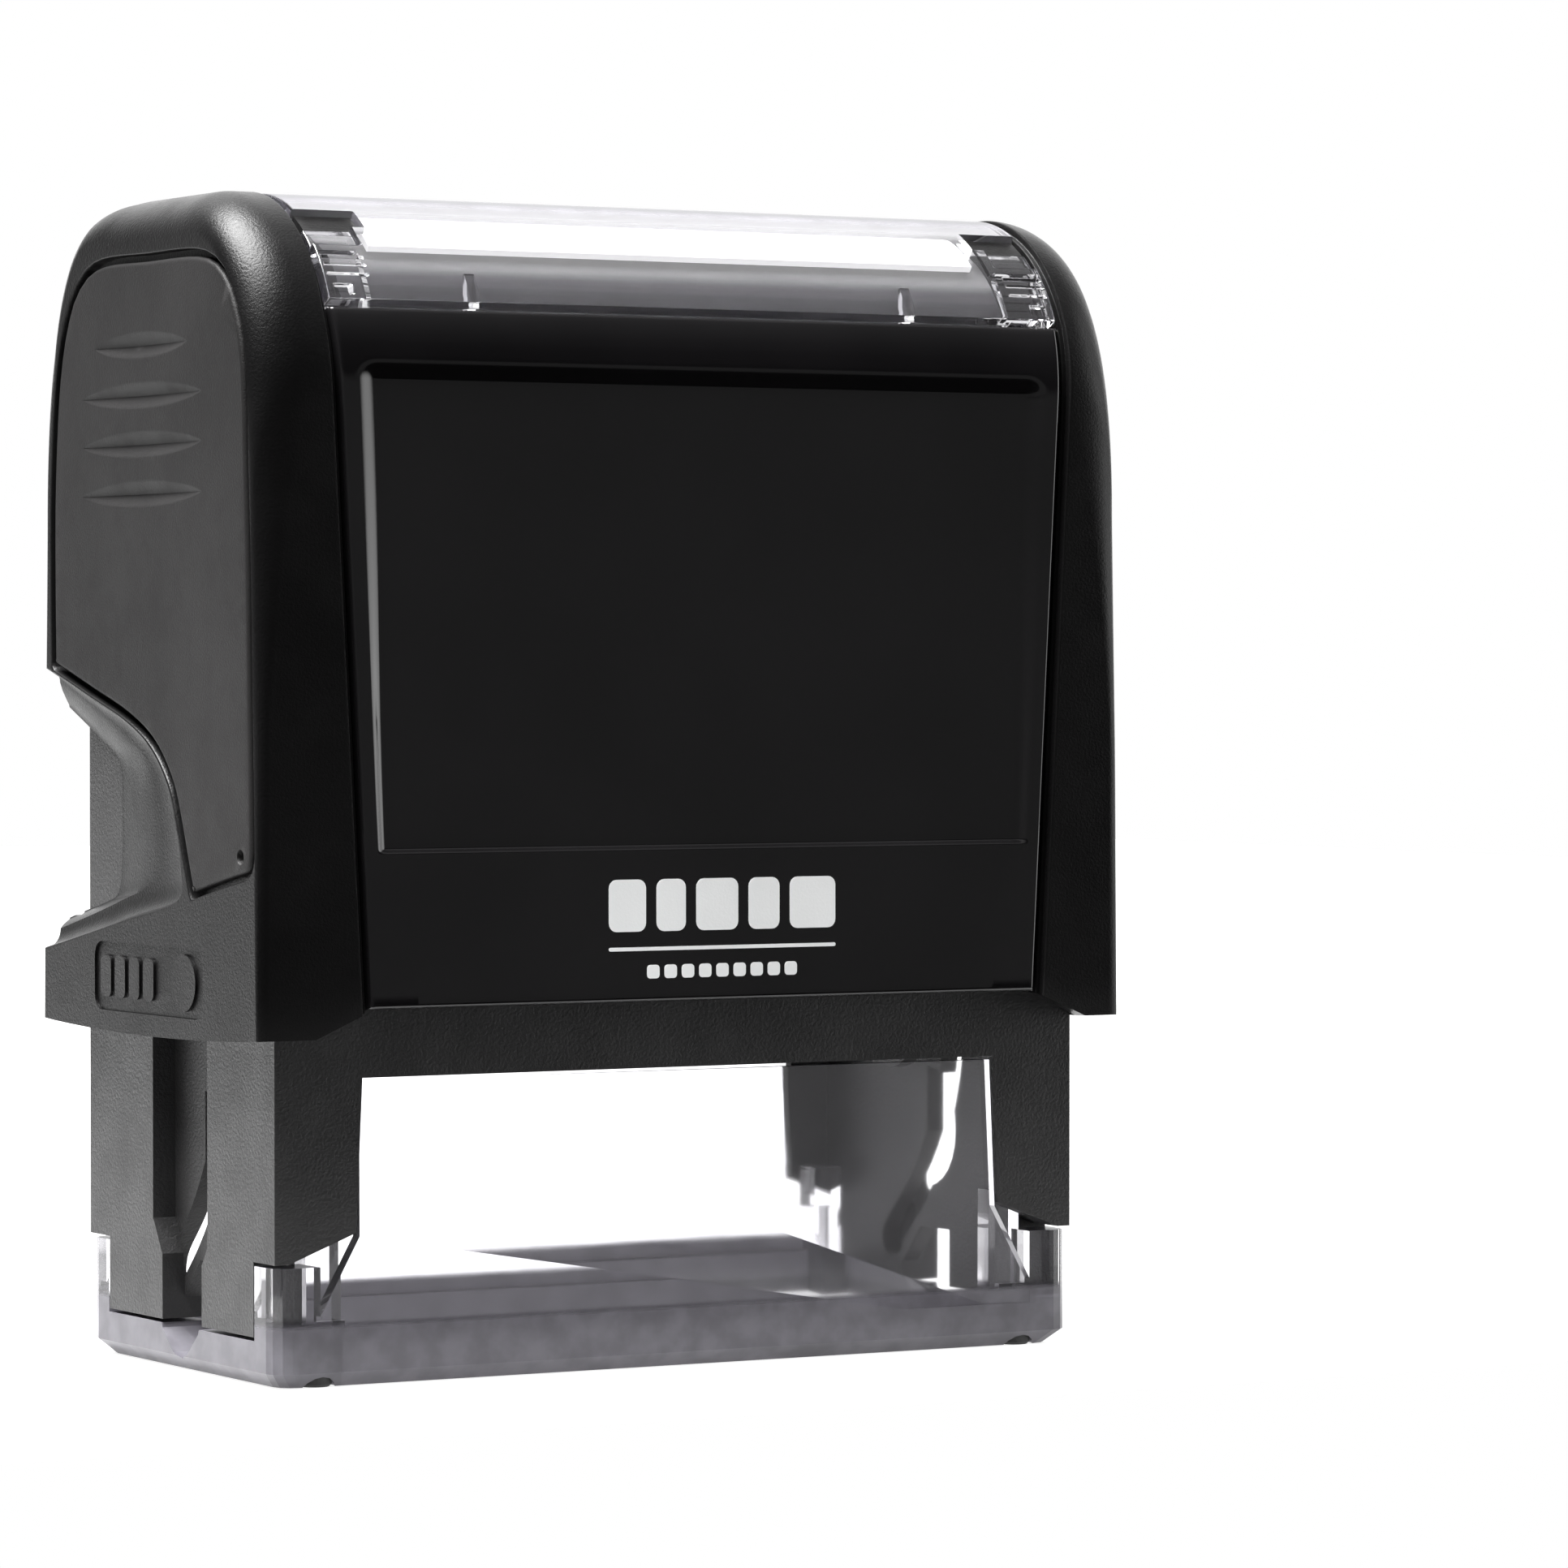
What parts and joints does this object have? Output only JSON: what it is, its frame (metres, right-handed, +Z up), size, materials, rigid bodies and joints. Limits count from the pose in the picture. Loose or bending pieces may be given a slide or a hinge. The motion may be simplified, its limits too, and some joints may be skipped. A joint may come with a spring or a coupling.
{
  "type": "self-inking stamp",
  "caption": "Hand-pressed self-inking stamp: a rounded housing slides down over a slotted frame on a clear foot, and the die turns over from the ink pad to the paper.",
  "frame": {"origin": "centre of the footprint, on the surface the stamp stands on", "axes": "+X to the right along the long side, the front faces -Y, +Z up along the press"},
  "size_m": [0.0798, 0.0414, 0.0949],
  "materials": {
    "frame_plastic": "fine-grained black moulding",
    "cap_plastic": "satin black with a fine grain",
    "gloss_plastic": "polished black",
    "soft_grip": "soft matt dark grey",
    "clear_plastic": "clear acrylic-like moulding",
    "foot_rubber": "black rubber",
    "die_rubber": "laser-cut grey rubber stained with ink",
    "foam": "fine foam",
    "ink_felt": "felt soaked with black ink",
    "card": "white card",
    "spring_steel": "drawn wire"
  },
  "bodies": {
    "base": {"inner_frame": "frame_plastic", "clear_foot": "clear_plastic", "rubber_foot_front_left": "foot_rubber", "rubber_foot_back_left": "foot_rubber", "rubber_foot_front_right": "foot_rubber", "rubber_foot_back_right": "foot_rubber", "return_spring_left": "spring_steel", "return_spring_right": "spring_steel"},
    "housing": {"end_cap_left": "cap_plastic", "end_cap_right": "cap_plastic", "side_grip_left": "soft_grip", "side_grip_right": "soft_grip", "front_panel": "gloss_plastic", "back_panel": "gloss_plastic", "rear_rail": "cap_plastic", "yoke": "frame_plastic", "card_tray": "frame_plastic", "index_card": "card"},
    "die": {"die_carrier": "frame_plastic", "die_cushion": "foam", "text_plate": "die_rubber"},
    "cartridge": {"ink_tray": "frame_plastic", "ink_pad": "ink_felt"},
    "top_cover": {"top_window": "clear_plastic"}
  },
  "joints": [
    {"name": "press", "type": "slide", "parent": "base", "child": "housing", "axis": [0, 0, -1], "range_m": [0, 0.0213], "stiffness_N_per_m": 450, "springref_m": -0.012, "deforming": ["return_spring_left", "return_spring_right"]},
    {"name": "die_flip", "type": "hinge", "parent": "housing", "child": "die", "pos_m": [0, 0, 0.0288], "axis": [1, 0, 0], "range_deg": [0, 180]},
    {"name": "cartridge_slide", "type": "slide", "parent": "base", "child": "cartridge", "axis": [0, 1, 0], "range_m": [0, 0.04]},
    {"name": "window_lift", "type": "slide", "parent": "housing", "child": "top_cover", "axis": [0, 0, 1], "range_m": [0, 0.012]}
  ],
  "couplings": [
    {"joint": "die_flip", "follows": "press", "rad_per_m": 147.45}
  ]
}
